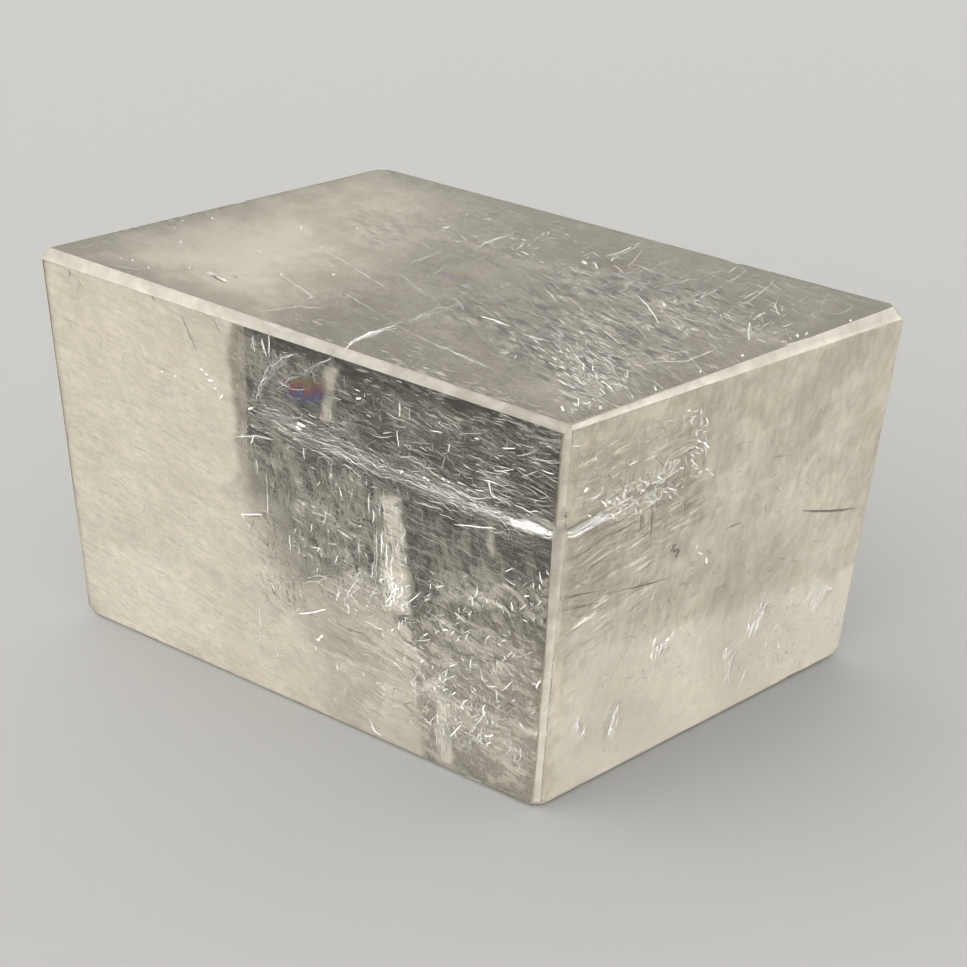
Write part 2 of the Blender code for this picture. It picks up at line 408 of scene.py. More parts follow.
def take_away(mesh, unwanted):
    """Deletes points of a mesh by their numbers, with the flats that they hold."""
    shape = bmesh.new()
    shape.from_mesh(mesh)
    shape.verts.ensure_lookup_table()
    bmesh.ops.delete(shape, geom=[shape.verts[i] for i in unwanted], context="VERTS")
    shape.to_mesh(mesh)
    shape.free()


def parting_mesh(name, face, corners, zones):
    """A wavering sheet under a face, with how strong each kind of mark is all over it."""
    wide, high = grid_size(corners, SHEET_CELL)
    verts, pixels = [], []
    for j in range(high + 1):
        for i in range(wide + 1):
            pixel = in_patch(corners, i / wide, i / wide, j / high)
            flat = Vector((pixel.x, pixel.y, 0))
            sway = noise.noise(flat * SHEET_SWAY)
            verts.append(drawn_in(seen_at(pixel, face, SHEET_DEPTH + SHEET_RELIEF * sway), face))
            place = flat * ZONE_DRIFT_SCALE
            strayed = noise.noise_vector(place) + FINE_DRIFT * noise.noise_vector(place * FINE_DRIFT_SCALE)
            pixels.append((pixel.x + ZONE_DRIFT * strayed.x, pixel.y + ZONE_DRIFT * strayed.y))
    within = [inside_stone(vert) for vert in verts]
    faces = [flat for flat in grid_flats(wide, high) if all(within[corner] for corner in flat)]
    xs, ys = np.array(pixels).T
    values = {kind: in_zones(xs, ys, patches) for kind, patches in zones.items()}
    mesh = new_mesh(name, verts, faces, values)
    held = {corner for flat in faces for corner in flat}
    take_away(mesh, [i for i in range(len(verts)) if i not in held])
    return mesh


# The web has two layers, each of a scale and a width of line, with one detail and roughness. A stroke
# is its length and width in metres, and the two values of its noise between which it fades in.
SHAKE_NOISE = (160.0, 4.0)
WEB_LAYERS = ((1.0, 0.022), (2.7, 0.034))
WEB_NOISE = (3.0, 0.6)
WEB_SIZES = (0.0042, 0.0030)
WEB_CLUMPS = (0.75, 1.15)
STEP_SPREAD = 1.1
STEP_RARITY = 3.0
STEP_ROUGH = 0.25
STROKE_NOISE = (1.0, 5.0, 0.7)
GRAIN_STEP = (0.34, 0.68)
STREAKS = ((0.009, 0.0020), 0.25, 0.75)
VEILS = ((0.0013, 0.0080), 0.42, 0.62)
PATCH_CLUMPS = (0.70, 1.30)
HAZE_TONES = (0.24, 0.72)
CONTRAST = 0.70
LEAST_PALE = 0.20
MILK_UNEVEN = 0.12
# The milk runs from dim to pale: partly by its own uneven tone, partly by painted light from the pale zones,
# which lift it where more light fell.
MILK_PALE = (1.0, 0.96, 0.86, 1.0)
MILK_DIM = (0.60, 0.55, 0.44, 1.0)
WHITE = (0.82, 0.79, 0.73, 1.0)
# SHADOW is painted shade: the colour of the dark strokes that darken the partings where shade shows through
# the stone.
SHADOW = (0.05, 0.045, 0.036, 1.0)


def new_group(name, inputs, outputs):
    """An empty shader node group with named sockets, and its two end nodes."""
    group = bpy.data.node_groups.new(name, "ShaderNodeTree")
    for way, sockets in (("INPUT", inputs), ("OUTPUT", outputs)):
        for socket, kind in sockets.items():
            group.interface.new_socket(socket, in_out=way, socket_type="NodeSocket" + kind)
    return group, group.nodes.new("NodeGroupInput").outputs, group.nodes.new("NodeGroupOutput").inputs


def flat_place(tree, place, across, down):
    """A place as metres along two ways."""
    ways = {"X": along(tree, place, across), "Y": along(tree, place, down)}
    return add_node(tree, "ShaderNodeCombineXYZ", ways).outputs[0]


def crumple_group():
    """Metres along and across a parting, shaken so that straight marks crumple, and clumps round 1."""
    group, given, out = new_group(
        "crumpled_place", {"Along": "Vector", "Across": "Vector", "Shake": "Vector"},
        {"Place": "Vector", "Clumps": "Float"})
    place = object_place(group)
    shake = noise_texture(group, place, *SHAKE_NOISE)
    flat = flat_place(group, place, given["Along"], given["Across"])
    join(group, out, {
        "Place": vector_maths(group, "MULTIPLY_ADD", shake["Color"], given["Shake"], flat),
        "Clumps": maths(group, "MULTIPLY", shake["Fac"], 2.0)})
    return group


def steps_group():
    """Long flat steps, each tilted its own way: their relief in metres, a chance and a shade for each."""
    group, given, out = new_group(
        "mirror_steps", {"Place": "Vector", "Scales": "Vector"},
        {"Relief": "Float", "Chance": "Float", "Shade": "Float"})
    sized = vector_maths(group, "MULTIPLY", given["Place"], given["Scales"])
    cell_inputs = {"Vector": sized, "Scale": 1.0}
    cells = add_node(group, "ShaderNodeTexVoronoi", cell_inputs, voronoi_dimensions="2D").outputs
    apart = vector_maths(group, "SUBTRACT", sized, cells["Position"])
    metres = vector_maths(group, "DIVIDE", apart, given["Scales"])
    spread = Vector((STEP_SPREAD, STEP_SPREAD, 0.0))
    tilt = vector_maths(group, "MULTIPLY_ADD", cells["Color"], spread, -spread / 2)
    chances = add_node(group, "ShaderNodeSeparateXYZ", {0: cells["Color"]}).outputs
    join(group, out, {"Relief": along(group, metres, tilt), "Chance": chances["Z"], "Shade": chances["X"]})
    return group


def web_group():
    """Fine lines that wander and meet like the creases of crumpled film, large and small."""
    group, given, out = new_group("healed_web", {"Place": "Vector", "Scales": "Vector"}, {"Lines": "Float"})
    sized = vector_maths(group, "MULTIPLY", given["Place"], given["Scales"])
    lines = []
    for size, width in WEB_LAYERS:
        folds = noise_texture(group, sized, size, *WEB_NOISE, "2D")["Fac"]
        apart = maths(group, "ABSOLUTE", maths(group, "SUBTRACT", folds, 0.5))
        lines.append(soft_step(group, apart, width, 0.0))
    join(group, out, {"Lines": maths(group, "MAXIMUM", *lines)})
    return group


def strokes_group():
    """Uneven strokes of a size, from fine grain to soft streaks, as dense as the limits let them be."""
    group, given, out = new_group(
        "strokes", {"Place": "Vector", "Scales": "Vector", "Thin": "Float", "Full": "Float"},
        {"Strokes": "Float"})
    sized = vector_maths(group, "MULTIPLY", given["Place"], given["Scales"])
    fine = noise_texture(group, sized, *STROKE_NOISE, "2D")["Fac"]
    join(group, out, {"Strokes": soft_step(group, fine, given["Thin"], given["Full"])})
    return group


CRUMPLE = crumple_group()
STEPS = steps_group()
WEB = web_group()
STROKES = strokes_group()


def group_at(tree, group, place, sizes, **more):
    """What a group gives out at a place, for marks of a length and a width in metres."""
    scales = (1 / sizes[0], 1 / sizes[1], 1.0)
    inputs = {"Place": place, "Scales": scales, **more}
    return add_node(tree, "ShaderNodeGroup", inputs, node_tree=group).outputs


def strokes(tree, place, sizes, thin, full):
    return group_at(tree, STROKES, place, sizes, Thin=thin, Full=full)["Strokes"]


def product(tree, first, *others):
    for other in others:
        first = maths(tree, "MULTIPLY", first, other)
    return first


def strongest(tree, first, *others):
    for other in others:
        first = maths(tree, "MAXIMUM", first, other)
    return first


def parting_finish(name, ways, streak, tilt, look):
    """Milk, a web, steps both ways and dark strokes of painted shade, each as strong as its zone says.

    The whole sheet is shaded as if it were tilted that much, so that it faces the light."""
    material, tree, shader = new_material(name, {})
    crumple_inputs = {"Along": ways[0], "Across": ways[1], "Shake": look["shake"]}
    crumpled = add_node(tree, "ShaderNodeGroup", crumple_inputs, node_tree=CRUMPLE).outputs
    place, clumps = crumpled["Place"], crumpled["Clumps"]
    flat = object_place(tree)

    layers = []
    for kind in ("level", "upright"):
        steps = group_at(tree, STEPS, place, look[kind])
        chance = maths(tree, "POWER", steps["Chance"], STEP_RARITY)
        shown = maths(tree, "MINIMUM", product(tree, on_mesh(tree, kind), clumps, chance), 1.0)
        layers.append((shown, steps["Relief"], steps["Shade"]))
    (level, level_relief, shade), (upright, upright_relief, _) = layers
    web = group_at(tree, WEB, place, WEB_SIZES)["Lines"]
    lines = product(tree, web, soft_step(tree, clumps, *WEB_CLUMPS), on_mesh(tree, "web"))
    light = strongest(tree, level, upright, lines)

    grain_share, streak_share, patch_share = look["shares"]
    streaks = strokes(tree, flat_place(tree, flat, *streak), *STREAKS)
    tone = maths(tree, "MULTIPLY", streaks, streak_share)
    tone = maths(tree, "MULTIPLY_ADD", strokes(tree, place, look["grain"], *GRAIN_STEP), grain_share, tone)
    tone = maths(tree, "MULTIPLY_ADD", soft_step(tree, clumps, *PATCH_CLUMPS), patch_share, tone)
    contrast = maths(tree, "MULTIPLY_ADD", on_mesh(tree, "milk"), -look["calm"], CONTRAST)
    # Painted light, in part: the pale zone lifts the milk towards MILK_PALE where more light fell, on top of
    # its own uneven tone.
    pale = maths(tree, "ADD", on_mesh(tree, "pale"), LEAST_PALE)
    paleness = maths(tree, "ADD", product(tree, maths(tree, "SUBTRACT", tone, 0.5), contrast), pale)

    even = maths(tree, "MULTIPLY_ADD", tone, MILK_UNEVEN, 1 - MILK_UNEVEN)
    milk = product(tree, on_mesh(tree, "milk"), even)
    veils = product(tree, strokes(tree, place, *VEILS), on_mesh(tree, "veil"))
    haze = product(tree, soft_step(tree, tone, *HAZE_TONES), on_mesh(tree, "haze"))
    milk = strongest(tree, milk, veils, haze)
    # Painted shade: dark strokes in the colour SHADOW, as strong as the dark zone says.
    dark = product(tree, strokes(tree, place, *look["dark"]), on_mesh(tree, "dark"))
    clear = product(tree, *(maths(tree, "SUBTRACT", 1.0, mask) for mask in (milk, light, dark)))

    glossy = blend(tree, strongest(tree, product(tree, shade, shade), lines), look["dull"], WHITE)
    colour = blend(tree, light, blend(tree, paleness, MILK_DIM, MILK_PALE), glossy)
    relief = maths(tree, "MULTIPLY", level_relief, maths(tree, "SUBTRACT", level, upright))
    relief = maths(tree, "MULTIPLY_ADD", upright_relief, upright, relief)
    slope = along(tree, flat, ways[0] * tilt[0] + ways[1] * tilt[1])
    bump = add_node(tree, "ShaderNodeBump", {"Height": maths(tree, "ADD", relief, slope), "Distance": 1.0})
    metal, rough = look["metal"], look["rough"]
    join(tree, shader, {
        "Alpha": maths(tree, "SUBTRACT", 1.0, clear), "Base Color": blend(tree, dark, colour, SHADOW),
        "Metallic": maths(tree, "MULTIPLY_ADD", light, 1.0 - metal, metal),
        "Roughness": maths(tree, "MULTIPLY_ADD", light, STEP_ROUGH - rough, rough),
        "Normal": bump.outputs["Normal"]})
    return material


FRONT_ZONES = {
    # The pale zones are partly painted light: the milk is paler where more light fell on it, as well as at
    # whitish patches of its own.
    "pale": [
        ([(0, 180), (600, 400), (580, 900), (40, 800)], 1, 0.56),
        ([(40, 480), (200, 520), (330, 700), (60, 680)], 60, 0.75),
        ([(360, 600), (570, 600), (560, 830), (350, 760)], 40, 0.85),
        ([(372, 486), (409, 490), (414, 612), (370, 604)], 6, 1.20),
        ([(425, 672), (456, 680), (456, 780), (428, 770)], 8, 1.2),
    ],
    "milk": [
        ([(20, 200), (235, 290), (238, 400), (246, 470), (120, 700), (60, 700)], 12, 0.97),
        ([(20, 200), (240, 330), (262, 440), (310, 500), (345, 580), (375, 650), (400, 830),
          (60, 760)], 70, 0.97),
        ([(195, 618), (243, 592), (280, 577), (312, 572), (368, 561), (398, 610), (425, 680), (440, 850),
          (160, 760)], 14, 0.74),
        ([(330, 590), (470, 600), (580, 640), (580, 870), (330, 820)], 60, 0.28),
        ([(376, 490), (405, 494), (410, 605), (374, 600)], 8, 0.95),
        ([(378, 560), (410, 560), (420, 620), (372, 616)], 10, 0.95),
        ([(321, 361), (339, 364), (335, 424), (319, 424)], 6, 0.75),
        ([(287, 472), (306, 474), (297, 492)], 4, 0.8),
        ([(286, 500), (308, 500), (306, 522), (292, 519)], 5, 0.8),
        ([(430, 694), (453, 698), (452, 772), (434, 762)], 7, 1.0),
        ([(418, 676), (450, 676), (448, 698), (420, 694)], 7, 0.9),
        ([(484, 508), (496, 510), (494, 560), (483, 556)], 5, 0.75),
    ],
    "haze": [
        ([(200, 300), (275, 330), (330, 480), (360, 620), (200, 640)], 30, 0.26),
        ([(300, 460), (420, 480), (430, 640), (270, 640)], 40, 0.28),
        ([(420, 560), (575, 550), (560, 820), (380, 780)], 40, 0.62),
        ([(320, 600), (440, 600), (480, 760), (330, 740)], 30, 0.80),
        ([(236, 330), (572, 440), (560, 560), (400, 500), (238, 440)], 16, 0.07),
    ],
    "veil": [
        ([(240, 430), (400, 480), (420, 620), (250, 620)], 25, 0.36),
        ([(400, 480), (560, 540), (550, 800), (410, 740)], 40, 0.30),
        ([(240, 330), (350, 355), (350, 420), (240, 400)], 15, 0.20),
    ],
    "web": [
        ([(238, 330), (566, 440), (556, 560), (390, 520), (238, 440)], 20, 0.34),
        ([(238, 430), (400, 480), (400, 620), (250, 620)], 20, 0.26),
        ([(290, 560), (560, 540), (545, 790), (330, 730)], 40, 0.50),
        ([(40, 250), (240, 320), (250, 650), (90, 620)], 30, 0.06),
    ],
    "level": [
        ([(20, 210), (580, 400), (560, 840), (60, 700)], 10, 0.20),
        ([(236, 325), (575, 430), (560, 600), (238, 470)], 15, 0.36),
        ([(380, 400), (580, 430), (562, 560), (400, 500)], 30, 0.40),
        ([(238, 392), (350, 436), (565, 512), (565, 548), (440, 514), (350, 478), (250, 432)], 9, 1.60),
        ([(250, 450), (570, 550), (560, 820), (330, 720)], 40, 0.60),
    ],
    "upright": [
        ([(20, 210), (240, 300), (250, 690), (60, 700)], 10, 0.06),
        ([(236, 420), (430, 480), (430, 620), (250, 620)], 30, 0.80),
        ([(238, 330), (340, 360), (330, 400), (238, 380)], 15, 0.70),
        ([(420, 560), (570, 560), (560, 820), (400, 760)], 40, 0.60),
    ],
    # The dark zones paint shade into the parting.
    "dark": [
        ([(236, 330), (570, 440), (560, 580), (240, 580)], 30, 0.42),
        ([(420, 560), (560, 560), (550, 790), (440, 740)], 50, 0.42),
        ([(404, 490), (452, 505), (450, 565), (408, 560)], 8, 0.60),
        ([(40, 250), (240, 320), (250, 650), (90, 620)], 30, 0.04),
    ],
}
RIGHT_ZONES = {
    "pale": [
        ([(500, 380), (980, 220), (920, 740), (480, 880)], 1, 0.30),
        ([(540, 640), (900, 520), (880, 740), (500, 880)], 60, 1.15),
        ([(640, 440), (940, 300), (900, 600), (660, 620)], 90, 0.50),
        ([(530, 570), (680, 520), (670, 700), (500, 790)], 60, 0.62),
        ([(806, 575), (832, 570), (828, 622), (808, 626)], 9, 1.0),
        ([(745, 600), (768, 596), (760, 640), (742, 642)], 8, 0.95),
        ([(648, 640), (668, 634), (664, 704), (646, 706)], 8, 1.0),
        ([(570, 700), (640, 690), (620, 750), (560, 770)], 25, 1.0),
        ([(725, 640), (745, 634), (735, 690), (716, 694)], 8, 0.9),
    ],
    "haze": [],
    "veil": [],
    "milk": [
        ([(540, 400), (950, 260), (880, 720), (510, 860)], 6, 0.95),
    ],
    "web": [
        ([(540, 400), (950, 260), (880, 720), (510, 860)], 10, 0.10),
        ([(566, 445), (720, 400), (700, 560), (550, 620)], 30, 0.40),
        ([(750, 585), (850, 560), (842, 655), (740, 690)], 20, 0.60),
        ([(640, 620), (690, 610), (680, 700), (640, 700)], 20, 0.50),
        ([(800, 560), (845, 550), (838, 650), (800, 640)], 20, 0.60),
    ],
    "level": [
        ([(540, 400), (950, 260), (880, 720), (510, 860)], 10, 0.06),
        ([(560, 440), (730, 385), (715, 545), (550, 610)], 40, 0.45),
        ([(550, 560), (680, 520), (660, 640), (545, 680)], 30, 0.30),
    ],
    "upright": [
        ([(560, 420), (890, 310), (850, 660), (550, 780)], 20, 0.08),
    ],
    "dark": [
        ([(556, 570), (700, 520), (690, 600), (548, 650)], 30, 0.22),
        ([(550, 440), (720, 380), (700, 700), (540, 780)], 60, 0.08),
        ([(640, 420), (900, 320), (860, 640), (640, 720)], 60, 0.03),
    ],
}
TOP_ZONES = {
    "pale": [
        ([(0, 250), (385, 130), (960, 300), (566, 470)], 1, 0.30),
        ([(0, 240), (300, 170), (380, 260), (240, 330)], 60, 1.05),
    ],
    "veil": [
        ([(300, 170), (640, 210), (900, 300), (640, 330), (420, 290)], 50, 0.16),
    ],
    "haze": [
        ([(200, 200), (400, 150), (700, 240), (500, 420)], 60, 0.22),
    ],
    "milk": [
        ([(-60, 250), (360, 110), (570, 195), (420, 310), (260, 380)], 100, 0.74),
        ([(20, 250), (385, 150), (930, 300), (566, 450)], 10, 0.14),
        ([(470, 385), (566, 440), (680, 395), (560, 350)], 30, 0.45),
    ],
    "web": [
        ([(60, 250), (385, 160), (900, 300), (566, 440)], 30, 0.30),
        ([(380, 300), (600, 240), (900, 310), (580, 425)], 40, 0.95),
    ],
    "level": [
        ([(20, 250), (385, 150), (930, 300), (566, 450)], 10, 0.15),
        ([(340, 310), (640, 230), (840, 330), (570, 440)], 60, 0.55),
        ([(150, 268), (250, 266), (245, 290), (190, 288)], 12, 1.00),
    ],
    "upright": [
        ([(120, 240), (385, 160), (900, 290), (800, 350), (480, 320)], 30, 0.20),
    ],
    "dark": [
        ([(330, 290), (620, 205), (920, 300), (570, 450)], 60, 0.95),
        ([(300, 200), (480, 180), (640, 220), (520, 330), (400, 320)], 40, 0.55),
    ],
}

# Each parting is its face, its corners and zones in the photograph, its two ways in the stone and the
# line that its streaks follow. Its finish is the sizes of its steps and grain, how metallic, rough and
# dull it is, how far it is shaken, what grain, streaks and clumps add to its tone, how much calmer
# milk makes it, and its dark strokes of painted shade.
PARTINGS = {
    "front_parting": {
        "face": "front", "corners": ((30, 240), (582, 425), (550, 818), (80, 616)), "zones": FRONT_ZONES,
        "ways": (LONG_WAY, DOWN_WAY), "streak": ((72, 307), (116, 362)),
        "level": (0.0034, 0.00026), "upright": (0.00030, 0.0026), "metal": 0.5, "rough": 0.60,
        "dull": (0.06, 0.056, 0.047, 1.0), "shake": (0.0034, 0.0036, 0.0), "grain": (0.0023, 0.0018),
        "shares": (0.56, 0.06, 0.38), "calm": 0.40, "dark": ((0.0026, 0.0006), 0.46, 0.68)},
    "right_parting": {
        "face": "right", "corners": ((558, 430), (912, 300), (848, 670), (530, 815)), "zones": RIGHT_ZONES,
        "ways": (DEEP_WAY, DOWN_WAY), "streak": ((700, 480), (694, 620)),
        "level": (0.0030, 0.00032), "upright": (0.00034, 0.0024), "metal": 0.90, "rough": 0.38,
        "dull": (0.24, 0.22, 0.18, 1.0), "shake": (0.0022, 0.0022, 0.0), "grain": (0.0013, 0.0028),
        "shares": (0.34, 0.30, 0.36), "calm": -0.10, "dark": ((0.0026, 0.0006), 0.46, 0.68)},
    "top_parting": {
        "face": "top", "corners": ((30, 250), (385, 160), (915, 306), (566, 442)), "zones": TOP_ZONES,
        "ways": (SLANT_WAY, DEEP_WAY), "streak": ((160, 290), (260, 270)),
        "level": (0.0044, 0.00042), "upright": (0.00050, 0.0044), "metal": 0.4, "rough": 0.60,
        "dull": (0.46, 0.45, 0.43, 1.0), "shake": (0.0034, 0.0034, 0.0), "grain": (0.0034, 0.0026),
        "shares": (0.38, 0.14, 0.48), "calm": 0.20, "dark": ((0.0046, 0.0016), 0.40, 0.64)},
}
noise.seed_set(ZONE_DRIFT_SEED)
for name, look in PARTINGS.items():
    face, corners, ways = look["face"], look["corners"], look["ways"]
    normal = face_planes[face][1]
    sheet = settle(name, parting_mesh(name, face, corners, look["zones"]))
    first, last = (seen_at(pixel, face, SHEET_DEPTH) for pixel in look["streak"])
    streak = (last - first).normalized()
    middle = sum((Vector(corner) for corner in corners), Vector((0, 0))) / 4
    glint = glint_way(face, middle)
    tilt = [-glint.dot(way) / glint.dot(normal) for way in ways]
    sheet.data.materials.append(parting_finish(name, ways, (streak, streak.cross(normal)), tilt, look))

# The skins: on the left and the back, which the photograph doesn't show, the stone keeps the thin pale
# skin of its own cleavages, stepped and crumpled as it broke, which lets only some light through.
SKIN_GAP = 0.00005
SKIN_LOOK = {
    "level": (0.0060, 0.00060), "upright": (0.00060, 0.0060), "metal": 0.1, "rough": 0.40,
    "dull": (0.42, 0.39, 0.33, 1.0), "shake": (0.0034, 0.0034, 0.0), "grain": (0.0023, 0.0018),
    "shares": (0.50, 0.30, 0.20), "calm": 0.45, "dark": ((0.0034, 0.0007), 0.48, 0.70)}
SKINS = {
    "left_skin": {
        "face": "left", "ways": (DEEP_WAY, DOWN_WAY),
        "zones": {"pale": 0.18, "milk": 0.68, "haze": 0.40, "veil": 0.25, "web": 0.42, "level": 0.68,
                  "upright": 0.40, "dark": 0.22}},
    "back_skin": {
        "face": "back", "ways": (LONG_WAY, DOWN_WAY),
        "zones": {"pale": 0.16, "milk": 0.68, "haze": 0.40, "veil": 0.25, "web": 0.46, "level": 0.72,
                  "upright": 0.46, "dark": 0.24}},
}


def skin_mesh(name, normal, zones):
    """A flat just over a face of the stone, with the same strength of each kind of mark all over."""
    flats = [flat for flat in stone_mesh.polygons if flat.normal.dot(normal) > SAME_WAY]
    flat = max(flats, key=lambda flat: flat.area)
    corners = [stone_mesh.vertices[i].co + normal * SKIN_GAP for i in flat.vertices]
    values = {kind: [strength] * len(corners) for kind, strength in zones.items()}
    return new_mesh(name, corners, [tuple(range(len(corners)))], values)


for name, skin in SKINS.items():
    made = settle(name, skin_mesh(name, face_planes[skin["face"]][1], skin["zones"]))
    made.data.materials.append(parting_finish(name, skin["ways"], skin["ways"], (0.0, 0.0), SKIN_LOOK))

# The cleavage films: flat, hair-thin partings the size of a grain of rice, silvery as mirrors.
# They follow the stone's cleavages, in clumps, under the faces where the photograph shows them.
CLUMP_SPREAD = 14.0
CLUMP_DEPTH = 0.0015
LOZENGE_CORNERS = 6
LEAST_FILM = 0.15
LARGE_RARITY = 3.0
FILM_THICKNESS = 0.00003


def cloud(draw, face, corners, depths, count, clumps):
    """Points between two depths, where the face shows inside four corners in the photograph.

    Half of the points gather round random middles, one for each clump."""

    def anywhere():
        across = draw.random()
        return in_patch(corners, across, across, draw.random()), draw.uniform(*depths)

    middles = [anywhere() for _ in range(clumps)]
    points = []
    for i in range(count):
        if i % 2:
            middle, deep = draw.choice(middles)
            pixel = middle + Vector((draw.gauss(0, CLUMP_SPREAD), draw.gauss(0, CLUMP_SPREAD)))
            deep += draw.gauss(0, CLUMP_DEPTH)
        else:
            pixel, deep = anywhere()
        point = seen_at(pixel, face, max(deep, SKIN))
        if inside_stone(point):
            points.append(point)
    return points


def film_tree():
    """Flat lozenges on points, each turned a little off the cleavage, in random sizes."""
    tree = bpy.data.node_groups.new("cleavage_films", "GeometryNodeTree")
    sockets = {
        "Geometry": "Geometry", "Along": "Vector", "Normal": "Vector", "Length": "Float", "Width": "Float",
        "Thickness": "Float", "Wander": "Float", "Seed": "Int", "Material": "Material"}
    for name, kind in sockets.items():
        tree.interface.new_socket(name, in_out="INPUT", socket_type="NodeSocket" + kind)
    tree.interface.new_socket("Geometry", in_out="OUTPUT", socket_type="NodeSocketGeometry")
    given = tree.nodes.new("NodeGroupInput").outputs
    end = tree.nodes.new("NodeGroupOutput")

    def chance(offset, low, high):
        seed = maths(tree, "ADD", given["Seed"], offset)
        node = add_node(tree, "FunctionNodeRandomValue", {2: low, 3: high, "Seed": seed}, data_type="FLOAT")
        return node.outputs[1]

    def wandering(axis, offset):
        ways = {i: chance(offset + i, -1.0, 1.0) for i in range(3)}
        shake = add_node(tree, "ShaderNodeCombineXYZ", ways).outputs[0]
        shaken = {0: shake, "Scale": given["Wander"]}
        sized = add_node(tree, "ShaderNodeVectorMath", shaken, operation="SCALE")
        return vector_maths(tree, "ADD", sized.outputs[0], given[axis])

    points = add_node(tree, "GeometryNodeMeshToPoints", {"Mesh": given["Geometry"]}).outputs[0]
    turn = add_node(tree, "FunctionNodeAxesToRotation", {
        "Primary Axis": wandering("Normal", 10), "Secondary Axis": wandering("Along", 20)},
        primary_axis="Z", secondary_axis="X").outputs[0]
    few_large = maths(tree, "POWER", chance(30, 0.0, 1.0), LARGE_RARITY)
    big = maths(tree, "MULTIPLY_ADD", few_large, 1 - LEAST_FILM, LEAST_FILM)
    wide = product(tree, chance(31, LEAST_FILM, 1.0), given["Width"], big)
    size = add_node(tree, "ShaderNodeCombineXYZ", {
        "X": product(tree, given["Length"], big), "Y": wide, "Z": given["Thickness"]}).outputs[0]
    lozenge = add_node(tree, "GeometryNodeMeshUVSphere", {"Segments": 4, "Rings": 2, "Radius": 0.5})
    placed = add_node(tree, "GeometryNodeInstanceOnPoints", {
        "Points": points, "Instance": lozenge.outputs["Mesh"], "Rotation": turn, "Scale": size}).outputs[0]
    shaded = add_node(tree, "GeometryNodeStoreNamedAttribute", {
        "Geometry": placed, "Name": "shade", "Value": chance(40, 0.0, 1.0)},
        data_type="FLOAT", domain="INSTANCE").outputs[0]
    solid = add_node(tree, "GeometryNodeRealizeInstances", {0: shaded}).outputs[0]
    finish = add_node(tree, "GeometryNodeSetMaterial", {"Geometry": solid, "Material": given["Material"]})
    tree.links.new(finish.outputs[0], end.inputs[0])
    return tree


def keep_inside(mesh):
    """Takes away each lozenge that would reach out of the stone."""
    out = [not inside_stone(corner.co) for corner in mesh.vertices]
    starts = range(0, len(out), LOZENGE_CORNERS)
    lozenges = [range(start, start + LOZENGE_CORNERS) for start in starts]
    take_away(mesh, [i for lozenge in lozenges if any(out[i] for i in lozenge) for i in lozenge])


def grow(name, tree, points, settings):
    """A plain mesh made by a tree on a set of points."""
    seeds = bpy.data.meshes.new(name + "_seeds")
    seeds.from_pydata(points, [], [])
    maker = bpy.data.objects.new(name + "_seeds", seeds)
    bpy.context.scene.collection.objects.link(maker)
    growth = maker.modifiers.new("growth", "NODES")
    growth.node_group = tree
    for item in tree.interface.items_tree:
        if item.in_out == "INPUT" and item.name in settings:
            growth[item.identifier] = settings[item.name]
    evaluated = maker.evaluated_get(bpy.context.evaluated_depsgraph_get())
    mesh = bpy.data.meshes.new_from_object(evaluated)
    bpy.data.objects.remove(maker)
    keep_inside(mesh)
    return settle(name, mesh)


def film_finish(name, metal, rough, dull, bright):
    """A film between two colours, by its own shade."""
    material, tree, shader = new_material(name, {"Metallic": metal, "Roughness": rough})
    join(tree, shader, {"Base Color": blend(tree, on_mesh(tree, "shade"), dull, bright)})
    return material


FRONT_MIDDLE = ((240, 330), (570, 440), (545, 780), (250, 650))
NEAR_EDGE = ((380, 400), (568, 450), (555, 560), (380, 500))
FRONT_FOOT = ((250, 590), (545, 700), (540, 780), (250, 670))
RIGHT_NEAR = ((570, 470), (660, 440), (655, 640), (550, 680))
TOP_SIDE = ((60, 250), (385, 178), (890, 308), (565, 420))
TOP_NEAR = ((430, 260), (650, 260), (760, 340), (560, 415))

# Each cloud is its face, its patch of the photograph, two depths, and how many films and clumps.
FILMS = {
    "level_films": {
        "clouds": (
            ("front", FRONT_MIDDLE, (0.0012, 0.016), 1000, 40),
            ("front", NEAR_EDGE, (0.0012, 0.006), 900, 40),
            ("front", FRONT_FOOT, (0.0012, 0.008), 300, 30),
            ("right", RIGHT_NEAR, (0.0004, 0.0009), 120, 20)),
        "Along": LONG_WAY, "Normal": TOP_NORMAL,
        "Length": 0.0028, "Width": 0.0009, "Wander": 0.14, "Seed": 3},
    "slanting_films": {
        "clouds": (
            ("top", TOP_SIDE, (0.0012, 0.010), 300, 40),
            ("top", TOP_NEAR, (0.0012, 0.006), 900, 50)),
        "Along": SLANT_WAY, "Normal": FRONT_NORMAL,
        "Length": 0.0030, "Width": 0.0008, "Wander": 0.16, "Seed": 5},
    "upright_films": {
        "clouds": (("front", FRONT_MIDDLE, (0.0012, 0.012), 500, 50),),
        "Along": DOWN_WAY, "Normal": RIGHT_NORMAL,
        "Length": 0.0026, "Width": 0.0007, "Wander": 0.12, "Seed": 7},
}
films = film_tree()
silver = film_finish("silver_film", 1.0, 0.25, (0.50, 0.49, 0.46, 1.0), (0.99, 0.98, 0.96, 1.0))
draw = random.Random(4)
for name, film in FILMS.items():
    points = [point for patch in film["clouds"] for point in cloud(draw, *patch)]
    grow(name, films, points, {**film, "Thickness": FILM_THICKNESS, "Material": silver})

